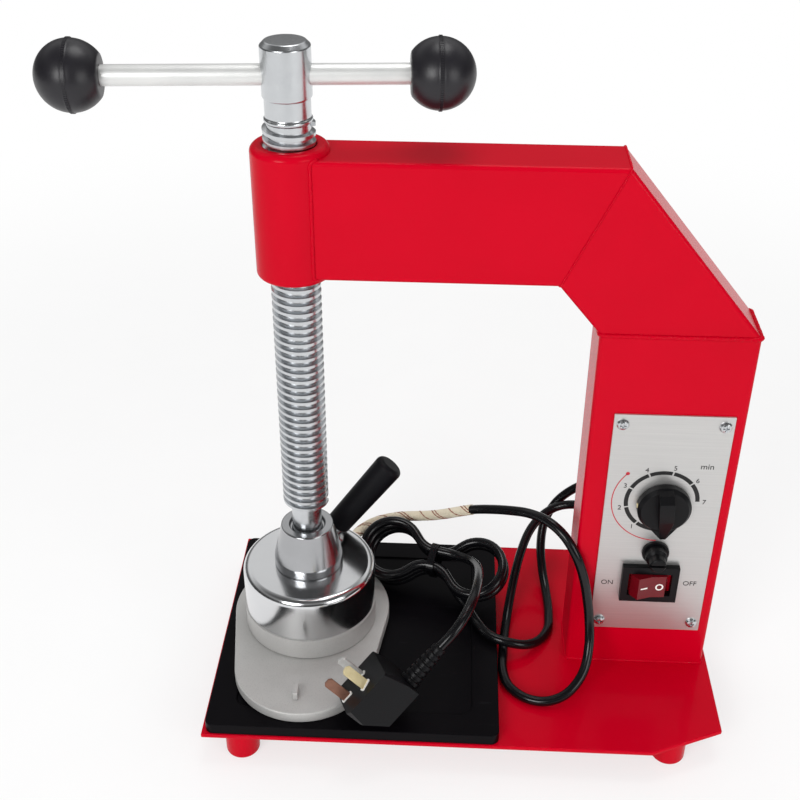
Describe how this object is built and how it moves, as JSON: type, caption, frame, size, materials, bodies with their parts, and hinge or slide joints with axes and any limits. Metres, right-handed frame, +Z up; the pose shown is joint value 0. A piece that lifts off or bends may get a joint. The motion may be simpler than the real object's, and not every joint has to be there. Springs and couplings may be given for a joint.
{
  "type": "tire vulcanizer",
  "caption": "Benchtop tire vulcanizer: a red C-frame screw press with a heated chrome head over an egg-shaped platen, tommy bar with ball knobs, timer panel, rocker switch and tied mains cord.",
  "frame": {"origin": "middle of the whole object without its cords, on the floor under the feet", "axes": "+X from the spindle towards the column, +Y to the back, away from the control panel, +Z up"},
  "size_m": [0.3992, 0.2029, 0.4334],
  "materials": {
    "red_paint": "gloss red enamel on welded steel",
    "black_enamel": "satin black",
    "cast_aluminium": "machined aluminium casting",
    "panel_aluminium": "brushed plate",
    "plated_steel": "bright zinc plate",
    "chrome": "polished chrome plate",
    "heater_steel": "heat-browned steel",
    "cream_insulation": "cream ceramic and moulding",
    "knob_black": "black phenolic",
    "black_plastic": "black moulding",
    "red_rocker": "clear red moulding",
    "gland_rubber": "black rubber",
    "fuse_glass": "clear glass with metal ends",
    "cord_black": "smooth black cord jacket",
    "woven_sleeve": "woven off-white heat sleeve",
    "blade_brass": "brass, partly plated"
  },
  "bodies": {
    "frame": {"feet": "red_paint", "base_plate": "red_paint", "column": "red_paint", "slope_tube": "red_paint", "arm_tube": "red_paint", "nut_boss": "red_paint", "tray": "black_enamel", "lower_platen": "cast_aluminium", "platen_tab": "cast_aluminium", "control_panel": "panel_aluminium", "panel_screws": "plated_steel", "terminal_block": "cream_insulation", "timer_body": "black_plastic", "fuse_holder": "black_plastic", "switch_housing": "black_plastic", "plug_body": "black_plastic", "plug_relief": "black_plastic", "mains_gland": "gland_rubber", "heater_gland": "gland_rubber", "mains_cord": "cord_black", "cord_hank": "cord_black", "plug_lead": "cord_black", "heater_cable": "cord_black", "cord_tie": "cord_black", "heater_sleeve": "woven_sleeve", "plug_pins": "blade_brass"},
    "head": {"press_cone": "chrome", "thrust_ball": "plated_steel", "retaining_pin": "plated_steel", "head_cap": "chrome", "heater_disc": "cast_aluminium", "heating_element": "heater_steel", "insulator": "cream_insulation", "load_spacer": "plated_steel", "thermostat": "cream_insulation", "cap_grommet": "cream_insulation", "handle_lug": "chrome", "handle_stud": "plated_steel", "handle_grip": "knob_black"},
    "spindle": {"spindle": "plated_steel"},
    "tommy_bar": {"tommy_bar": "plated_steel", "ball_knob_left": "knob_black", "ball_knob_right": "knob_black"},
    "timer_knob": {"timer_shaft": "plated_steel", "timer_knob": "knob_black"},
    "rocker": {"switch_rocker": "red_rocker"},
    "fuse": {"glass_fuse": "fuse_glass"},
    "fuse_cap": {"fuse_cap": "black_plastic"}
  },
  "joints": [
    {"name": "press_travel", "type": "slide", "parent": "frame", "child": "head", "axis": [0, 0, 1], "range_m": [0, 0.14]},
    {"name": "spindle_turn", "type": "hinge", "parent": "head", "child": "spindle", "pos_m": [-0.06942, 0, 0.123], "axis": [0, 0, 1], "range_deg": [0, 10080]},
    {"name": "bar_slide", "type": "slide", "parent": "spindle", "child": "tommy_bar", "axis": [0.9969, 0.0785, 0], "range_m": [-0.051, 0.082]},
    {"name": "timer_turn", "type": "hinge", "parent": "frame", "child": "timer_knob", "pos_m": [0.15437, -0.025, 0.156], "axis": [0, 1, 0], "range_deg": [0, 270]},
    {"name": "rocker_tilt", "type": "hinge", "parent": "frame", "child": "rocker", "pos_m": [0.15237, -0.0215, 0.0946], "axis": [0, 0, -1], "range_deg": [0, 24]},
    {"name": "fuse_pull", "type": "slide", "parent": "frame", "child": "fuse", "axis": [0, -1, 0], "range_m": [0, 0.03]},
    {"name": "fuse_cap_turn", "type": "hinge", "parent": "fuse", "child": "fuse_cap", "pos_m": [0.15367, -0.025, 0.1192], "axis": [0, 1, 0], "range_deg": [0, 90]}
  ],
  "couplings": [
    {"joint": "press_travel", "follows": "spindle_turn", "m_per_rad": 0.00079577}
  ]
}
